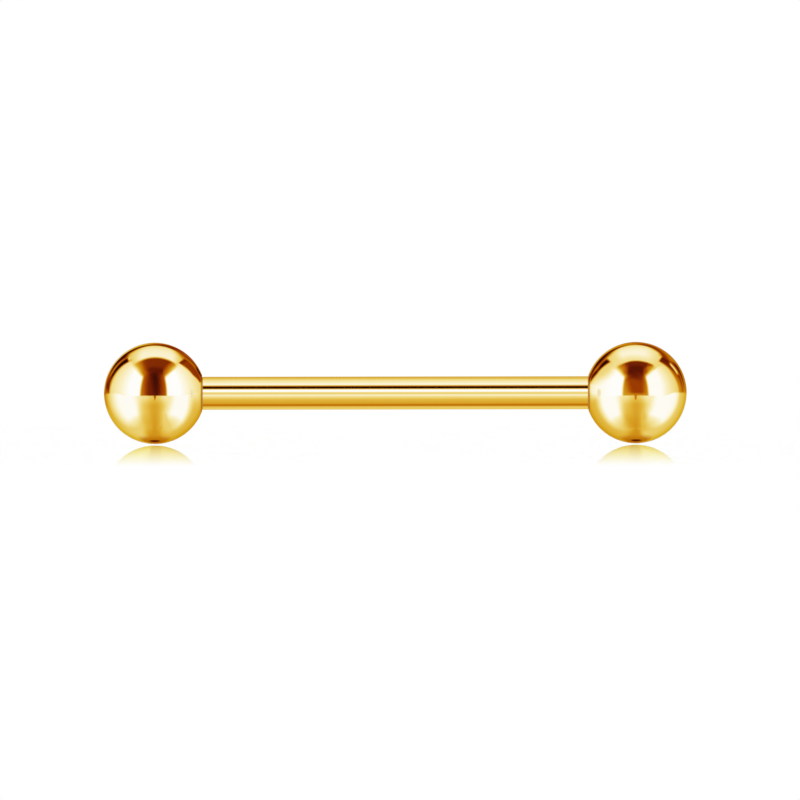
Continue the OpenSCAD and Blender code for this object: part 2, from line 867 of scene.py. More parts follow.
def dressed(surface: Surface, name: str, finishes: list[Material], second: Array) -> Object:
    """Makes a piece whose triangles carry one of two finishes.

    Args:
        surface: the welded surface.
        name: the piece's name.
        finishes: the two materials.
        second: for each triangle, whether it carries the second one.

    Returns:
        The piece, in the scene.
    """
    mesh = surface.mesh(name)
    for material in finishes:
        mesh.materials.append(material)
    mesh.polygons.foreach_set("material_index", second.astype(np.int32))
    return shown(name, mesh)


@dataclass
class Bar:
    """The straight bar: round, rounded at both ends, with a tapped hole in each."""

    plan: Plan
    thread: Thread
    end_round: float = 0.04 * MM
    mouth_round: float = 0.012 * MM
    hole_depth: float = 3.2 * MM
    hole_bevel: float = 0.06 * MM
    thread_play: float = 0.03 * MM
    thread_start: float = 0.1 * MM
    thread_end: float = 3.0 * MM
    drill_angle: float = math.radians(118.0)
    drill_round: float = 0.03 * MM
    columns: int = 144

    @property
    def hole_radius(self) -> float:
        """Radius of the hole's wall, at the bottom of its thread."""
        return self.thread.crest + self.thread_play

    def half(self) -> Surface:
        """Turns the half of the bar on the +X side.

        Its outline runs from the middle out to the rounded end, across the end's face, down the
        countersink and the threaded wall, and down the drill point to the axis.

        Returns:
            The open half, whose rim is the ring at x = 0.
        """
        plan, wall, end = self.plan, self.hole_radius, self.plan.bar_end
        bottom = end - self.hole_depth
        mouth = eased(
            np.array([
                [0.0, plan.bar_radius],
                [end, plan.bar_radius],
                [end, wall + self.hole_bevel],
                [end - self.hole_bevel, wall],
                [plan.seat - self.thread_start, wall],
            ]),
            np.array([0.0, self.end_round, self.mouth_round, self.mouth_round, 0.0]),
        )
        drilled = eased(
            np.array([
                [plan.seat - self.thread_end, wall],
                [bottom, wall],
                [bottom - wall / math.tan(self.drill_angle / 2.0), 0.0],
            ]),
            np.array([0.0, self.drill_round, 0.0]),
        )
        tapped = self.thread.rings(
            plan.seat, self.thread_start, self.thread_end, self.thread_play, self.columns)
        rings = Rings.plain(mouth, self.columns).then(tapped).then(Rings.plain(drilled, self.columns))
        return Surface.turned(rings, plan.axis_height)

    def build(self, outside: Material, inside: Material) -> Object:
        """Makes the bar from one half and the same half turned round.

        Args:
            outside: finish of the bar's outer faces.
            inside: finish of the tapped holes.

        Returns:
            The bar, in place of its CAD node.
        """
        half = self.half()
        surface = half.joined(half.turned_round()).welded()
        centres = surface.centres()
        radius = np.hypot(centres[:, 1], centres[:, 2] - self.plan.axis_height)
        in_hole = radius < self.hole_radius + self.hole_bevel / 2.0
        piece = dressed(surface, "bar_tube", [outside, inside], in_hole)
        piece.visible_glossy = False
        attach(piece, "bar")
        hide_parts("bar")
        return piece


class End(Enum):
    """The two ends of the barbell, by the name of their body."""

    LEFT = "left_ball"
    RIGHT = "right_ball"


@dataclass
class BallEnd:
    """One ball with its flat seat, and the threaded stem that stands on it."""

    plan: Plan
    thread: Thread
    end: End
    seat_round: float = 0.025 * MM
    arc_short: float = 0.0375 * MM
    flat_within: float = 0.001 * MM
    stem_flare: float = 0.03 * MM
    sink: float = 0.3 * MM
    turns: int = 9
    lead: float = 0.15 * MM
    tip_round: float = 0.04 * MM
    ball_rows: int = 120
    ball_columns: int = 192
    stem_columns: int = 144

    @property
    def thread_end(self) -> float:
        """Depth below the seat at which the stem's thread ends and its tapered lead starts."""
        return self.thread.first_root + self.turns * self.thread.pitch

    def ball(self) -> Surface:
        """Turns the ball on the +X side.

        Its outline is the arc (centre + R cos t, R sin t) from the pole at t = 0 until it is arc_short
        from the seat's edge, and from there it runs round the edge and across the seat to the axis.

        Returns:
            The surface, not yet welded.
        """
        plan = self.plan
        seat_angle = math.pi - math.asin(plan.seat_radius / plan.ball_radius)
        t = np.linspace(0.0, seat_angle - self.arc_short / plan.ball_radius, self.ball_rows)
        arc = plan.ball_radius * np.stack([np.cos(t), np.sin(t)], axis=-1)
        arc += [plan.ball_centre, 0.0]
        seat = eased(
            np.array([arc[-1], [plan.seat, plan.seat_radius], [plan.seat, 0.0]]),
            np.array([0.0, self.seat_round, 0.0]),
        )
        return Surface.turned(Rings.plain(np.concatenate([arc, seat]), self.ball_columns), plan.axis_height)

    def stem(self) -> Surface:
        """Turns the stem on the +X side.

        Its outline runs from the axis inside the ball out to a short flare at the seat, along the
        neck, the thread and the tapered lead, and across the tip to the axis.

        Returns:
            The surface, not yet welded.
        """
        seat, root = self.plan.seat, self.thread.root
        tip = seat - self.thread_end - self.lead
        foot = eased(
            np.array([
                [seat + self.sink, 0.0],
                [seat + self.sink, root + self.stem_flare],
                [seat, root + self.stem_flare],
                [seat - self.stem_flare, root],
                [seat - self.thread.first_root, root],
            ]),
            np.array([0.0, self.stem_flare, 0.0, self.stem_flare / 2.0, 0.0]),
        )
        nose = eased(
            np.array([[seat - self.thread_end, root], [tip, root - self.lead / 2.0], [tip, 0.0]]),
            np.array([0.0, self.tip_round, 0.0]),
        )
        wound = self.thread.rings(seat, self.thread.first_root, self.thread_end, 0.0, self.stem_columns)
        rings = Rings.plain(foot, self.stem_columns).then(wound).then(Rings.plain(nose, self.stem_columns))
        return Surface.turned(rings, self.plan.axis_height)

    def placed(self, surface: Surface, name: str, finishes: list[Material], near_to: float) -> Object:
        """Makes a piece of this end, turned round if the end is the left one.

        Args:
            surface: the piece's surface on the +X side.
            name: what to add to the body's name.
            finishes: the piece's material, and the one nearer the middle of the bar.
            near_to: distance from the middle of the bar at which the nearer one stops.

        Returns:
            The piece, riding on its body.
        """
        side = surface.turned_round() if self.end is End.LEFT else surface
        side = side.welded()
        near = np.abs(side.centres()[:, 0]) < near_to
        piece = dressed(side, self.end.value + name, finishes, near)
        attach(piece, self.end.value)
        return piece

    def build(self, ball_finishes: list[Material], stem_finishes: list[Material]) -> list[Object]:
        """Makes the ball and its stem, in place of their CAD node.

        The ball doesn't mirror the stem or the bar, as in the photograph.

        Args:
            ball_finishes: finishes of the ball and of its flat seat.
            stem_finishes: finishes of the stem and of its lead and tip, past the thread's end.

        Returns:
            The ball and the stem.
        """
        seat = self.plan.seat
        ball = self.placed(self.ball(), "_turned", ball_finishes, seat + self.flat_within)
        stem = self.placed(self.stem(), "_stem", stem_finishes, seat - self.thread_end)
        stem.visible_glossy = False
        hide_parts(self.end.value)
        return [ball, stem]


@dataclass(frozen=True)
class View:
    """The photograph's view, and the frame in which the studio stands square to it.

    Places in the photograph are in its own pixels, of which the frame has 800 by 800. The camera
    sees from a hundredth of its distance to ten times it.
    """

    frame_pixels: int = 800
    pixels_per_mm: float = 20.28
    object_x: float = 394.84
    object_y: float = 392.48
    distance: float = 1.0
    near_share: float = 0.01
    far_share: float = 10.0
    elevation: float = math.radians(5.0)
    roll: float = math.radians(-0.09)
    sensor: float = 36.0

    @property
    def turn(self) -> Matrix:
        """Turns the studio's frame, whose Y runs along the line of sight, into the world's."""
        return Matrix.Rotation(-self.elevation, 3, "X")

    def build(self, middle: Vector) -> Object:
        """Makes the camera.

        Args:
            middle: the object's middle, which shows at the named pixel.

        Returns:
            The camera, set as the scene's.
        """
        metres_per_pixel = MM / self.pixels_per_mm
        centre_pixel = (self.frame_pixels - 1) / 2.0
        data = bpy.data.cameras.new("camera")
        data.sensor_width = self.sensor
        data.lens = self.sensor * self.distance / (self.frame_pixels * metres_per_pixel)
        data.clip_start = self.distance * self.near_share
        data.clip_end = self.distance * self.far_share
        camera = shown("camera", data)
        right = (centre_pixel - self.object_x) * metres_per_pixel
        down = (centre_pixel - self.object_y) * metres_per_pixel
        camera.location = middle + self.turn @ Vector((right, -self.distance, -down))
        facing = self.turn @ Matrix.Rotation(math.pi / 2.0, 3, "X")
        camera.rotation_euler = (facing @ Matrix.Rotation(self.roll, 3, "Z")).to_euler()
        bpy.context.scene.camera = camera
        return camera


@dataclass(frozen=True)
class ToneScale:
    """How the gold looks under more and more light, from black to blown out.

    Each tone is red, green and blue as a screen shows them, from 0 to 255. The tones were read off
    averages of the photograph's gold, grouped by brightness.
    """

    levels: tuple[float, ...] = (0.0, 0.08, 0.18, 0.33, 0.45, 0.59, 0.70, 0.82, 0.92, 1.0)
    red: tuple[int, ...] = (12, 38, 96, 160, 193, 214, 228, 240, 249, 255)
    green: tuple[int, ...] = (3, 9, 22, 63, 114, 156, 186, 218, 238, 255)
    blue: tuple[int, ...] = (1, 3, 4, 4, 8, 32, 66, 132, 190, 254)

    def light(self, level: Array | float) -> Array:
        """The light that makes the gold look its tone at a level.

        A screen value s is the linear value ((s + 0.055) / 1.055)^2.4 above 0.04045, and s / 12.92
        below it. The light is that divided by what the gold mirrors.

        Args:
            level: how bright the gold should look, from 0 to 1.

        Returns:
            Red, green and blue light, on a new last axis.
        """
        tones = self.red, self.green, self.blue
        screen = np.stack([np.interp(level, self.levels, tone) for tone in tones], axis=-1) / 255.0
        linear = np.where(screen > 0.04045, ((screen + 0.055) / 1.055) ** 2.4, screen / 12.92)
        return linear / np.array(GOLD)

    def colour(self, level: float, mirrors: int = 0) -> tuple[float, ...]:
        """That light as a node's colour, made up for more gold mirrors on its way."""
        return (*(self.light(level) / np.array(GOLD) ** mirrors), 1.0)


def direction(azimuth: Array, elevation: Array) -> Array:
    """Unit vectors at an azimuth from the camera, positive to the right, and an elevation, in degrees."""
    a, e = np.radians(azimuth), np.radians(elevation)
    return np.stack([np.cos(e) * np.sin(a), -np.cos(e) * np.cos(a), np.sin(e)], axis=-1)


def azimuth_of(sky: Array) -> Array:
    """The azimuth in degrees of each direction."""
    return np.degrees(np.arctan2(sky[..., 0], -sky[..., 1]))


@dataclass(frozen=True)
class Card:
    """A flat card or soft box of the studio, seen as the patch of sky between its corners.

    Corners are azimuth and elevation in degrees. The edges between them are straight, which on
    the dome makes them great circles: a point is inside where its product with each edge's
    normal is positive. Edge softness is in degrees, one value for all or one an edge. Past
    far_from degrees of azimuth the level moves to far_level, and reaches it at far_to.
    """

    corners: tuple[tuple[float, float], ...]
    level: float
    soft: float | tuple[float, ...] = 1.0
    far_level: float | None = None
    far_from: float = 60.0
    far_to: float = 116.0

    def mask(self, sky: Array) -> Array:
        """Finds how much of each direction the card covers.

        Args:
            sky: the directions.

        Returns:
            The cover, from 0 to 1.
        """
        corner = direction(*np.array(self.corners, dtype=float).T)
        normal = np.cross(corner, np.roll(corner, -1, axis=0))
        normal /= np.linalg.norm(normal, axis=1, keepdims=True)
        normal *= np.sign(normal @ corner.mean(axis=0))[:, None]
        soft = np.broadcast_to(np.radians(self.soft), len(corner))
        return smooth_step(-1.0, 1.0, (sky @ normal.T) / soft).prod(axis=-1)

    def paint(self, level: Array, sky: Array) -> Array:
        """Lays the card over what is behind it.

        Args:
            level: levels so far.
            sky: the directions.

        Returns:
            The levels with the card in front.
        """
        tone: Array | float = self.level
        if self.far_level is not None:
            away = (np.abs(azimuth_of(sky)) - self.far_from) / (self.far_to - self.far_from)
            tone = fade(self.level, self.far_level, np.clip(away, 0.0, 1.0))
        return fade(level, tone, self.mask(sky))


@dataclass(frozen=True)
class BallStudio:
    """What one ball mirrors: a table below, and above it cards and soft boxes round a dark gap.

    Cards come furthest first, both those on the table and those above it. The table is plain gold
    straight below, and the soft boxes light it on both sides. The horizon at which it ends lies
    below the line of sight ahead, towards the camera, and rises to it at the sides and behind.
    Ahead, the table is a little brighter near the horizon. Angles are in degrees, and a pair of
    them is where a change starts and where it ends.
    """

    name: str
    # Which side of the ball the bar is on, 1 for the right.
    bar_side: float
    table_cards: tuple[Card, ...]
    cards: tuple[Card, ...]
    stand: Card
    dark: float
    horizon: float
    # The table's own level, and the light on it.
    table_level: float
    lit: float
    lit_ahead: float
    lit_aside: float
    bar_from: float
    away_from: float
    lit_from: float
    lit_over: float
    # What is the same for both balls.
    horizon_rise: tuple[float, float] = (60.0, 100.0)
    horizon_soft: float = 0.9
    near_edge: float = 0.13
    near_edge_rise: tuple[float, float] = (-30.0, -6.0)
    near_edge_end: tuple[float, float] = (20.0, 40.0)

    def table(self, azimuth: Array, elevation: Array) -> Array:
        """Levels of the table.

        The lit share is a ramp in elevation times a smooth step in azimuth from the share ahead to
        all of it aside, times another that loses it again behind, sooner on one side.

        Args:
            azimuth: degrees from the camera.
            elevation: degrees above the line of sight.

        Returns:
            The levels.
        """
        aside = np.abs(azimuth)
        gained = fade(self.lit_ahead, 1.0, smooth_step(0.0, self.lit_aside, aside))
        loss_from = np.where(azimuth * self.bar_side > 0.0, self.bar_from, self.away_from)
        kept = 1.0 - smooth_step(loss_from, 180.0, aside)
        ramp = np.clip((elevation - self.lit_from) / self.lit_over, 0.0, 1.0)
        near_edge = smooth_step(*self.near_edge_rise, elevation)
        near_edge = near_edge * (1.0 - smooth_step(*self.near_edge_end, aside))
        return self.table_level + self.lit * ramp * gained * kept + self.near_edge * near_edge

    def levels(self, sky: Array) -> Array:
        """How bright the ball should look where it mirrors each direction.

        Args:
            sky: the directions, in the studio's frame.

        Returns:
            Levels from 0 to 1.
        """
        azimuth = azimuth_of(sky)
        elevation = np.degrees(np.arcsin(np.clip(sky[..., 2], -1.0, 1.0)))
        table = self.table(azimuth, elevation)
        for card in self.table_cards:
            table = card.paint(table, sky)
        level = np.full(azimuth.shape, self.dark)
        for card in self.cards:
            level = card.paint(level, sky)
        edge = self.horizon * (1.0 - smooth_step(*self.horizon_rise, np.abs(azimuth)))
        above = smooth_step(-self.horizon_soft, self.horizon_soft, elevation - edge)
        return self.stand.paint(fade(table, level, above), sky)


@dataclass(frozen=True)
class Strip:
    """A long strip that runs beside the bar, seen between two angles about its axis.

    Angles are degrees above the line of sight. The level runs evenly from the first edge to the second.
    """

    low: float
    high: float
    level: float
    high_level: float
    soft: float = 2.0

    def paint(self, level: Array, angle: Array) -> Array:
        """Lays the strip over what is behind it.

        Args:
            level: levels so far.
            angle: the angle about the bar's axis of each direction.

        Returns:
            The levels with the strip in front.
        """
        inside = smooth_step(self.low - self.soft, self.low + self.soft, angle)
        inside = inside * (1.0 - smooth_step(self.high - self.soft, self.high + self.soft, angle))
        along = np.clip((angle - self.low) / (self.high - self.low), 0.0, 1.0)
        return fade(level, fade(self.level, self.high_level, along), inside)


@dataclass(frozen=True)
class BarStudio:
    """What the bar and the stems mirror: long strips beside them, and one level where there is none.

    The strips were laid out and then moved by a fitting program against the photograph.
    Most were corrected after that.
    """

    name: str = "bar_studio"
    level: float = 0.6
    strips: tuple[Strip, ...] = (
        Strip(-180, -121, 0.94, 0.85, 8.0),
        Strip(-117.5, -104, 0.80, 0.64, 3.0),
        Strip(-103.5, -79, 0.49, 0.38, 4.5),
        Strip(-85.5, -46, 0.58, 0.70, 8.0),
        Strip(-49, -14, 0.68, 0.91, 1.5),
        Strip(-22.5, -8, 0.89, 0.95, 1.5),
        Strip(-8, 5, 0.80, 0.79, 3.5),
        Strip(3, 7, 0.80, 0.90, 1.5),
        Strip(7, 26, 1.00, 1.00, 3.5),
        Strip(28.5, 33.5, 0.80, 0.30, 4.0),
        Strip(32, 44.5, 0.00, 0.00, 1.5),
        Strip(43.5, 50, 0.11, 0.33, 2.5),
        Strip(51.5, 55.5, 0.60, 0.76, 2.0),
        Strip(57, 117.5, 0.99, 0.80, 5.0),
        Strip(121, 134, 0.79, 0.74, 8.0),
        Strip(132, 153, 0.95, 0.97, 7.5),
        Strip(137, 147, 0.48, 0.48, 2.5),
        Strip(147, 168, 0.93, 0.93, 2.0),
        Strip(168, 172, 0.80, 0.80, 3.0),
        Strip(172, 182, 0.58, 0.58, 2.0),
        Strip(-182, -174, 0.58, 0.58, 2.0),
    )

    def levels(self, sky: Array) -> Array:
        """How bright the bar should look where it mirrors each direction.

        Args:
            sky: the directions, in the studio's frame.

        Returns:
            Levels from 0 to 1.
        """
        angle = np.degrees(np.arctan2(sky[..., 2], -sky[..., 1]))
        level = np.full(angle.shape, self.level)
        for strip in self.strips:
            level = strip.paint(level, angle)
        return level


@dataclass(frozen=True)
class WhiteStudio:
    """What the floor mirrors past the barbell: plain white all round."""

    name: str = "white_studio"

    def levels(self, sky: Array) -> Array:
        """Full light from everywhere."""
        return np.ones(sky.shape[:-1])


def bare_material(name: str) -> tuple[Material, Wiring]:
    """Starts a material of the stage, whose light the renderer doesn't seek out as it does a lamp's.

    Args:
        name: the material's name.

    Returns:
        The material, and the wiring of its empty node tree.
    """
    material = bpy.data.materials.new(name)
    material.use_nodes = True
    material.node_tree.nodes.clear()
    material.cycles.emission_sampling = "NONE"
    return material, Wiring(material.node_tree)


def staged(name: str, points: Array, faces: Array, material: Material) -> Object:
    """Makes a piece of the stage.

    Args:
        name: its name.
        points: its points, in metres.
        faces: the numbers of each face's corners, one row a face.
        material: its material.

    Returns:
        The piece.
    """
    mesh = bpy.data.meshes.new(name)
    mesh.from_pydata(points.reshape(-1, 3), [], faces)
    mesh.materials.append(material)
    piece = shown(name, mesh)
    return piece


@dataclass
class Studio:
    """The stage: a white floor under a white sky, and the domes that light each piece."""

    view: View
    scale: ToneScale = field(default_factory=ToneScale)
    # The domes, each a little wider than the last.
    first_radius: float = 3.0
    radius_step: float = 0.1
    domes: int = 0
    dome_columns: int = 640
    dome_rows: int = 320
    # The floor, the clear cover over it, and what the floor mirrors.
    floor_half: float = 2.5
    floor_points: int = 3
    cover_depth: float = 0.02 * MM
    sheet_depth: float = 0.044 * MM
    sheet_index: float = 1.5
    mirror_gain: float = 1.143
    mirror_reach: float = 12.2 * MM
    mirror_fall: float = 1.3
    blue_power: float = 2.3
    between_level: float = 0.94
    # The shade under each ball.
    shade_sides: int = 64
    shade_depth: float = 0.74 * MM
    shade_dark_to: tuple[float, float] = (0.22 * MM, 0.50 * MM)
    shade_fade: tuple[float, float] = (0.60 * MM, 1.40 * MM)
    shade_levels: tuple[float, float] = (0.19, 0.50)
    shade_seen_from: float = 6.0 * MM

    def sky_white(self) -> None:
        """Makes the sky white for the camera, and dark for the metal, which has its own studios."""
        world = bpy.data.worlds.new("white_sky")
        world.use_nodes = True
        world.node_tree.nodes["Background"].inputs["Color"].default_value = (1.0, 1.0, 1.0, 1.0)
        bpy.context.scene.world = world
        world.cycles_visibility.glossy = False

    def dome(
        self,
        studio: BallStudio | BarStudio | WhiteStudio,
        lit: list[Object],
        coloured: bool = True,
        mirrored: bool = False,
    ) -> None:
        """Paints a dome and lets it light some objects alone.

        Its point at azimuth a and elevation e is radius (cos e sin a, -cos e cos a, sin e), in the
        view's frame. Its material adds its light to what is behind it, so the domes, one inside
        the next, don't hide each other.

        Args:
            studio: what the dome shows.
            lit: the objects that see it.
            coloured: whether its light follows the gold's tone scale, or is white in a gold mirror.
            mirrored: whether the floor and the metal mirror what it lights.
        """
        azimuth, elevation = np.meshgrid(
            np.linspace(-180.0, 180.0, self.dome_columns + 1), np.linspace(-90.0, 90.0, self.dome_rows + 1))
        sky = direction(azimuth, elevation)
        points = (self.first_radius + self.domes * self.radius_step) * sky @ np.array(self.view.turn).T
        material = self.glow(studio.name, self.domes if mirrored else None)
        dome = staged(studio.name, points, grid_cells(*azimuth.shape), material)
        level = np.clip(studio.levels(sky), 0.0, 1.0)
        light = self.scale.light(level) if coloured else level[..., None] / np.array(GOLD)
        colour = np.concatenate([light, np.ones((*level.shape, 1))], axis=-1)
        layer = dome.data.color_attributes.new("light", "FLOAT_COLOR", "POINT")
        layer.data.foreach_set("color", colour.astype(np.float32).ravel())
        self.light_only(dome, lit)
        self.domes += 1

    def light_only(self, source: Object, lit: list[Object]) -> None:
        """Lets a source light some objects alone, unseen by the camera.

        Args:
            source: the dome or shade.
            lit: the objects that see it.
        """
        source.visible_camera = False
        source.visible_shadow = False
        receivers = bpy.data.collections.new(source.name + "_receivers")
        for piece in lit:
            receivers.objects.link(piece)
        source.light_linking.receiver_collection = receivers

    def glow(self, name: str, crossed: int | None) -> Material:
        """Wires a material that gives off the light painted on its mesh, and is otherwise clear.

        Args:
            name: the material's name.
            crossed: how many clear surfaces light from here crosses on its way into the studio, where
                light is told apart by its way to the camera.

        Returns:
            The material.
        """
        material, wiring = bare_material(name)
        colour = wiring.add("Attribute", attribute_name="light").outputs["Color"]
        if crossed is not None:
            colour = self.by_way(wiring, colour, crossed)
        light = wiring.add("Emission", {"Color": colour}).outputs[0]
        clear = wiring.add("BsdfTransparent").outputs[0]
        both = wiring.add("AddShader", {0: light, 1: clear}).outputs[0]
        wiring.add("OutputMaterial", {"Surface": both})
        return material

    def by_way(self, wiring: Wiring, painted: NodeSocket, crossed: int) -> NodeSocket:
        """Chooses a dome's light by how many mirrors it meets on its way to the camera.

        Light that meets two or three mirrors goes through gold as often, so it starts out as much
        stronger as the other mirrors take away. Where the first mirror is metal and not the floor it
        is plain light, so that a ball shows its own studio in place of the other ball.

        Args:
            wiring: the dome's wiring.
            painted: the light painted on the dome.
            crossed: how many clear surfaces light crosses on its way into the studio.

        Returns:
            The light's socket.
        """
        way = wiring.add("LightPath").outputs
        stronger = wiring.vectors("DIVIDE", painted, GOLD)
        after_two, after_three = [self.scale.colour(self.between_level, others) for others in (1, 2)]
        thrice = wiring.maths("GREATER_THAN", way["Ray Depth"], 2.0)
        plain = wiring.blend(thrice, after_two, after_three)
        by_floor = wiring.maths("GREATER_THAN", way["Transparent Depth"], float(crossed))
        twice = wiring.maths("GREATER_THAN", way["Ray Depth"], 1.0)
        return wiring.blend(twice, painted, wiring.blend(by_floor, plain, stronger))

    def contact_shade(self, name: str, contact: Vector, ball: Object) -> None:
        """Lays the shade under a ball, which the ball mirrors as a dark line along its foot.

        It is a disc below the floor, which the ball doesn't see, and shows only to what is as near
        as that ball. It is dark in the middle, paler further out, and then fades away. Its rim is
        centre + reach (cos a, sin a, 0).

        Args:
            name: its name.
            contact: the point on which the ball rests.
            ball: the ball.
        """
        centre = (contact.x, contact.y, -self.shade_depth)
        material, wiring = bare_material(name)
        away = wiring.distance(wiring.place(), centre)
        dark, far = [self.scale.colour(level) for level in self.shade_levels]
        colour = wiring.blend(wiring.eased(away, *self.shade_dark_to), dark, far)
        way = wiring.add("LightPath").outputs
        seen_far = wiring.maths("GREATER_THAN", way["Ray Length"], self.shade_seen_from)
        seen_in_mirror = wiring.maths("GREATER_THAN", way["Ray Depth"], 1.0)
        hidden = wiring.maths("MAXIMUM", seen_far, seen_in_mirror)
        clearer = wiring.maths("MAXIMUM", wiring.eased(away, *self.shade_fade), hidden)
        shade = wiring.add("Emission", {"Color": colour}).outputs[0]
        clear = wiring.add("BsdfTransparent").outputs[0]
        both = wiring.add("MixShader", {0: clearer, 1: shade, 2: clear}).outputs[0]
        wiring.add("OutputMaterial", {"Surface": both})
        angle = np.linspace(0.0, 2.0 * math.pi, self.shade_sides, endpoint=False)
        spokes = np.stack([np.cos(angle), np.sin(angle), np.zeros_like(angle)], axis=-1)
        rim = np.array(centre) + self.shade_fade[1] * spokes
        disc = staged(name, rim, np.arange(self.shade_sides)[None, :], material)
        self.light_only(disc, [ball])

    def sheet(self, name: str, depth: float, material: Material) -> Object:
        """Lays a square sheet that mirrors don't see.

        Args:
            name: its name.
            depth: how far it lies below the balls.
            material: its material.

        Returns:
            The sheet.
        """
        side = np.linspace(-self.floor_half, self.floor_half, self.floor_points)
        x, y = np.meshgrid(side, side)
        points = np.stack([x, y, np.full_like(x, -depth)], axis=-1)
        sheet = staged(name, points, grid_cells(*x.shape), material)
        sheet.visible_glossy = False
        return sheet

    def floor(self, contacts: list[Vector]) -> Object:
        """Lays a white sheet that faintly mirrors what stands on it.

        The mirror lies a little below the balls, as the back of a thin clear sheet does. As a
        clear sheet does, it mirrors more the flatter it is seen. Its strength also falls off with
        the distance from the nearest ball, as a power of what is left of its reach. The clear
        cover over it is how the domes know light that comes by the floor.

        Args:
            contacts: the points on which the balls rest.

        Returns:
            The floor.
        """
        clear, wiring = bare_material("clear")
        wiring.add("OutputMaterial", {"Surface": wiring.add("BsdfTransparent").outputs[0]})
        self.sheet("clear_cover", self.cover_depth, clear)
        return self.sheet("floor", self.sheet_depth, self.white_sheet(contacts))

    def white_sheet(self, contacts: list[Vector]) -> Material:
        """Wires the floor's material: white that gives off its own light, and a mirror that fades out.

        The sheet's own light and what it mirrors add up to white wherever it mirrors white. Its own
        blue light falls faster than the rest, which keeps the mirrored gold warm as it fades. It
        mirrors as gold does, which evens out what the domes give off to light that meets two mirrors.

        Args:
            contacts: the points on which the two balls rest.

        Returns:
            The material.
        """
        material, wiring = bare_material("white_sheet")
        place = wiring.place()
        nearest = wiring.maths("MINIMUM", *(wiring.distance(place, tuple(contact)) for contact in contacts))
        left = wiring.maths("POWER", wiring.mapped(nearest, self.mirror_reach, 0.0), self.mirror_fall)
        glancing = wiring.add("Fresnel", {"IOR": self.sheet_index}).outputs[0]
        gained = wiring.maths("MULTIPLY", glancing, self.mirror_gain)
        strength = wiring.maths("MINIMUM", wiring.maths("MULTIPLY", left, gained), 1.0)
        whiteness = wiring.maths("SUBTRACT", 1.0, strength)
        blueness = wiring.maths("POWER", whiteness, self.blue_power)
        shares = {"Red": whiteness, "Green": whiteness, "Blue": blueness}
        own_light = wiring.add("CombineColor", shares).outputs[0]
        rest = wiring.add("Invert", {"Color": own_light}).outputs[0]
        white = wiring.add("Emission", {"Color": own_light}).outputs[0]
        mirrored = wiring.vectors("MULTIPLY", rest, GOLD)
        mirror = wiring.add("BsdfGlossy", {"Color": mirrored, "Roughness": 0.0}).outputs[0]
        both = wiring.add("AddShader", {0: white, 1: mirror}).outputs[0]
        wiring.add("OutputMaterial", {"Surface": both})
        return material
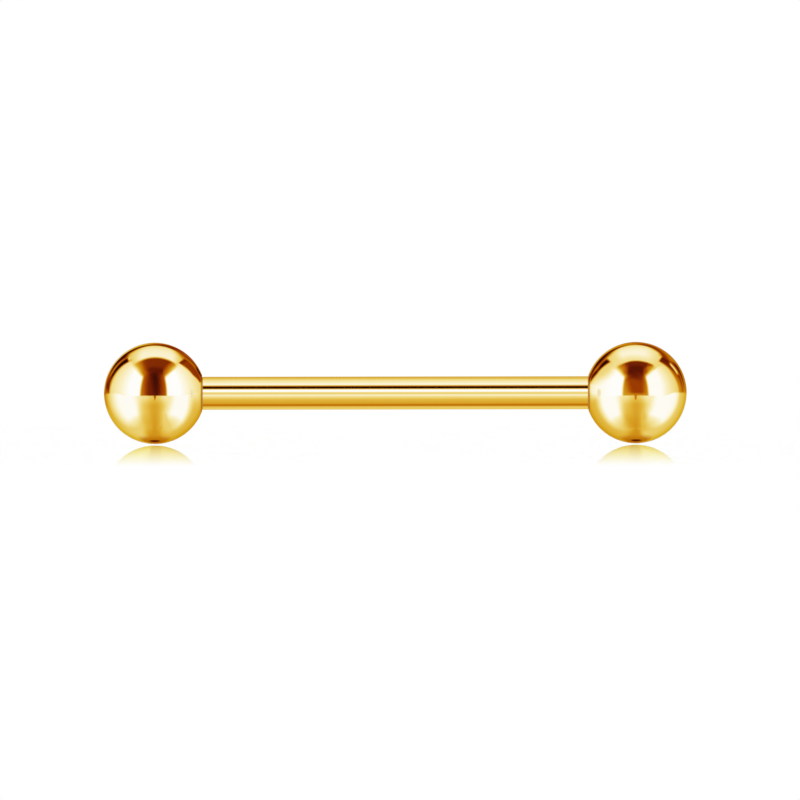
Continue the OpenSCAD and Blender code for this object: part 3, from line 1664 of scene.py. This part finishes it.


# The numbers of the two ball studios below were laid out, and then moved by a fitting
# program until a model of each ball's mirror image matched the photograph. They are rounded, and
# some cards were corrected after that.
LEFT_STUDIO = BallStudio(
    name="left_ball_studio",
    bar_side=1.0,
    table_cards=(
        Card(((-27.5, -26.5), (-67.5, -67.5), (-72.5, -74.5), (-37, -82)), 0.62, (16, 16, 15, 16)),
        Card(((27, -38.5), (98, -63.5), (158.5, -44.5), (73, -76.5)), 0.79, (4.5, 3, 15, 1.5)),
        Card(((92, -4.5), (180, -3.5), (162, -64), (141, -62.5)), 0.72, (16, 1.5, 13, 16)),
        Card(((-146.5, -10.5), (-180, 5), (-170.5, -51.5), (-77.5, -70)), 0.80, (2, 1, 7, 8.5)),
    ),
    cards=(
        # The glow above each soft box, and the pale corner beside it.
        Card(((-17.5, 38.5), (-75, 51.5), (-103.5, 73.5), (-42, 65.5)), 0.37, (1.5, 1, 8.5, 10.5)),
        Card(((22, 34.5), (80.5, 53.5), (90, 62), (40.5, 60)), 0.33, (3.5, 1, 2, 8.5)),
        Card(((-32, 39.5), (-98.5, 45.5), (-103.5, 60), (-39.5, 53.5)), 0.68, (3, 1, 10, 12)),
        Card(((22.5, 39.5), (99.5, 46.5), (102, 57.5), (37.5, 53.5)), 0.53, (1, 1, 5.5, 13)),
        Card(((-92, -25.5), (-117, 37.5), (-107.5, 63.5), (-94, 64)), 0.91, (8, 5.5, 12, 10.5)),
        Card(((82.5, 45.5), (118, 41.5), (118, 64.5), (98.5, 59.5)), 0.87, (5.5, 1, 2.5, 13)),
        # The gap in which the camera stands.
        Card(((-35.5, -10.5), (44.5, -7.5), (52.5, 42.5), (-34, 47)), 0.45, (1, 1, 9, 1.5)),
        Card(((-20, -4.5), (19.5, -10.5), (22.5, 60.5), (-23, 48.5)), 0.22, (1, 15, 11.5, 10.5)),
        Card(((3, -10.5), (7, -6.5), (10.5, 53.5), (-9, 48.5)), 0.09, (1, 11, 4.5, 10)),
        Card(((-21, 46), (23, 42.5), (33, 56), (-24, 59)), 0.18, (10, 1, 7, 5.5)),
        # The soft boxes.
        Card(((-33, -23), (-30, 37.5), (-115, 49), (-127.5, -10)), 1.00, (3.5, 5, 7.5, 1.5), 0.86),
        Card(((28, -7), (27, 36.5), (115, 47), (166.5, -9)), 1.00, (3, 5, 1, 1.5), 0.87),
        # The far corner on the left, with streaks between dark cards.
        Card(((-117, 53), (-129.5, 0), (-180, 0.5), (-180, 27.5)), 1.00, (7, 1, 16, 7.5)),
        Card(((-115, 47.5), (-126, 13), (-137.5, 5), (-138, 42)), 0.07, (3.5, 7.5, 6.5, 2)),
        Card(((-126.5, 11), (-127, -1), (-165, -1.5), (-146, 17.5)), 0.20, (3, 8.5, 13.5, 8.5)),
        Card(((-137.5, 49.5), (-142.5, 13.5), (-155, 10), (-167, 23), (-180, 35)), 0.12, 6.5),
        # The dark far corner on the right, behind the bar.
        Card(((105.5, 46.5), (117, 22.5), (135, 9.5), (172.5, 3.5), (115.5, 73)), 0.41, (5, 4, 1, 3, 2)),
        Card(((106.5, 51), (117, 22.5), (135, 9.5), (144, 13), (140, 38)), 0.30, (3, 1.5, 1.5, 3, 1.5)),
        Card(((107, 52), (109, 46.5), (138.5, 33.5), (140, 39)), 0.23, (1, 2, 1.5, 1.5)),
        Card(((144.5, 27.5), (148.5, 27.5), (146.5, 18.5), (143, 18.5)), 0.50, 1.5),
        Card(((152, 28), (157, 29.5), (158, 16), (154.5, 16)), 0.25, 1.5),
        Card(((153, 27), (171, 25.5), (172, 30), (156, 31)), 0.27, 1.5),
        Card(((148, 17), (155, 16), (161, 10.5), (159, 8), (150, 11.5)), 0.06, 1.5),
        # The ceiling, and its paler middle.
        Card(((-87.5, 55), (93, 52.2), (137.5, 39), (-148.5, 35)), 0.78, (5.5, 1.5, 10, 3.5)),
        Card(((-89.5, 60.5), (94, 56), (157, 38), (-161, 39.5)), 0.95, (5, 7, 2.5, 10.5)),
    ),
    stand=Card(((-2, -5), (6, -5), (2, -14), (1, -18)), 0.37, (0.5, 1, 1.5, 1)),
    dark=0.26,
    horizon=-5.3,
    table_level=0.57,
    lit=0.42,
    lit_ahead=0.11,
    lit_aside=54.0,
    bar_from=104.0,
    away_from=86.0,
    lit_from=-90.5,
    lit_over=47.0,
)
RIGHT_STUDIO = BallStudio(
    name="right_ball_studio",
    bar_side=-1.0,
    table_cards=(
        Card(((-28, -28.5), (-66.5, -70), (-84, -82), (66, -82)), 0.57, (16, 16, 3, 16)),
        Card(((34, -46.5), (70, -71.5), (154.5, -76), (19.5, -45.5)), 0.71, (8.5, 16, 1.5, 14)),
        Card(((-98.5, -6), (-180, -0.5), (-168.5, -53.5), (-137, -69)), 0.71, (7.5, 1, 7.5, 16)),
        Card(((116, 2), (180, 1), (169, -56.5), (128, -78)), 0.79, (1, 1.5, 6.5, 8.5)),
    ),
    cards=(
        # The glow above each soft box, and the pale corner beside it.
        Card(((-37.5, 31.5), (-84, 50.5), (-101.5, 66), (-40.5, 64)), 0.35, (1.5, 1, 5.5, 14.5)),
        Card(((31, 33.5), (84, 54), (101.5, 61), (44, 61.5)), 0.31, (2.5, 1, 1.5, 2.5)),
        Card(((-44, 33), (-82.5, 50), (-84.5, 54), (-32, 52.5)), 0.63, (2.5, 1, 11, 13.5)),
        Card(((31, 32.5), (84, 53.5), (79.5, 55), (36.5, 57)), 0.54, (1, 4.5, 5, 13.5)),
        Card(((-76, 48), (-129, 42), (-121.5, 66), (-55.5, 72.5)), 0.90, (5, 1, 1, 7.5)),
        Card(((65.5, 48.5), (133.5, 25), (145, 66), (71.5, 59)), 0.81, (6.5, 5.5, 1, 5)),
        # The gap in which the camera stands.
        Card(((-32, -7.5), (28.5, -6), (26, 45.5), (-32.5, 42.5)), 0.57, (1.5, 7.5, 15, 4)),
        Card(((-15.5, -2.5), (20.5, -3.5), (24, 46.5), (-28.5, 31.5)), 0.32, (5.5, 11, 4.5, 12.5)),
        Card(((-24, 41.5), (6.5, 33), (-24, 59), (-24.5, 58.5)), 0.11, 11),
        Card(((-23.5, 38), (19, 36), (29.5, 60.5), (-28, 61)), 0.17, (14, 3, 5, 3.5)),
        # The soft boxes.
        Card(((-30.5, -9), (-29.5, 36.5), (-110.5, 47.5), (-166.5, -11.5)), 1.00, (3.5, 6, 1.5, 1.5), 0.97),
        Card(((27.5, -8.5), (24.5, 37), (106.5, 47.5), (131, -9)), 0.99, (3.5, 5.5, 1.5, 1.5), 0.77),
        # The far corner on the left, behind the bar, with streaks between dark cards.
        Card(
            ((-70, 39.5), (-95.5, 17.5), (-148.5, 6), (-180, 0.5), (-180, 57)),
            0.81,
            (16, 11.5, 1, 12, 15.5),
        ),
        Card(
            ((-112, 48.5), (-115.5, 33), (-123.5, 18), (-133, 23), (-136, 40)),
            0.08,
            (5, 5.5, 12.5, 7, 2),
        ),
        Card(((-120.5, 24.5), (-133.5, 9.5), (-141, 13), (-129, 26.5)), 0.13, 3.5),
        Card(((-134.5, 35), (-144.5, -4), (-161.5, 13.5), (-164.5, 17.5), (-180, 38.5)), 0.11, 10.5),
        # The dark far corner on the right, with a small bright patch.
        Card(((107.5, 28), (116.5, -4.5), (177.5, -16.5), (179.5, 23)), 0.57, (4, 1, 1, 10.5)),
        Card(
            ((105.5, 52.5), (109, 32.5), (136.5, -0.5), (138.5, 42), (125.5, 48.5)),
            0.19,
            (4, 16, 5, 1.5, 2),
        ),
        Card(((139, 22), (142, 28), (155, 15.5), (142, 1.5)), 0.20, 2.5),
        Card(((125, 33.5), (134.5, 32), (134.5, 17.5), (125.5, 19.5)), 0.85, 2.5),
        # The ceiling, and its paler middle.
        Card(((-72, 54), (71, 56), (144.5, 41.5), (-137, 42.5)), 0.84, (3, 4.5, 2.5, 6.5)),
        Card(((-93.5, 65), (81.5, 68), (156, 38.5), (-157, 38)), 0.96, (15.5, 11.5, 3, 7)),
    ),
    stand=Card(((-4.5, -3.5), (2.5, -1), (0.5, -15.5), (-2.5, -17)), 0.45, (0.5, 1, 1.5, 1)),
    dark=0.22,
    horizon=-6.4,
    table_level=0.56,
    lit=0.43,
    lit_ahead=0.14,
    lit_aside=53.0,
    bar_from=112.0,
    away_from=93.0,
    lit_from=-93.5,
    lit_over=48.0,
)


def main() -> None:
    """Builds the camera, the pieces and the stage."""
    logging.basicConfig(level=logging.INFO, format="%(name)s: %(message)s")
    plan = Plan.from_frame()
    view = View()
    view.build(Vector((0.0, 0.0, plan.axis_height)))
    log.info("camera at %.0f degrees", math.degrees(view.elevation))

    effects = Effects.build()
    bar_finishes, ball_finishes, stem_finishes = [
        [finish.material(effects, plan) for finish in finishes]
        for finishes in ((DRAWN_GOLD, BORE_GOLD), (MIRROR_GOLD, SEAT_GOLD), (THREAD_GOLD, TIP_GOLD))
    ]
    thread = Thread()
    bar = Bar(plan, thread).build(*bar_finishes)
    left_ball, left_stem = BallEnd(plan, thread, End.LEFT).build(ball_finishes, stem_finishes)
    right_ball, right_stem = BallEnd(plan, thread, End.RIGHT).build(ball_finishes, stem_finishes)
    for piece in (bar, left_ball, left_stem, right_ball, right_stem):
        log.info("%s: %d triangles", piece.name, len(piece.data.polygons))

    studio = Studio(view)
    studio.sky_white()
    contacts = [Vector((side * plan.ball_centre, 0.0, -studio.sheet_depth)) for side in (-1.0, 1.0)]
    floor = studio.floor(contacts)
    studio.dome(LEFT_STUDIO, [left_ball], mirrored=True)
    studio.dome(RIGHT_STUDIO, [right_ball], mirrored=True)
    studio.dome(BarStudio(), [bar, left_stem, right_stem])
    studio.dome(WhiteStudio(), [floor], coloured=False)
    for ball, contact in zip((left_ball, right_ball), contacts):
        studio.contact_shade(ball.name + "_shade", contact, ball)
    bpy.context.scene.view_settings.view_transform = "Standard"
    log.info("floor and %d domes", studio.domes)


if __name__ == "__main__":
    main()
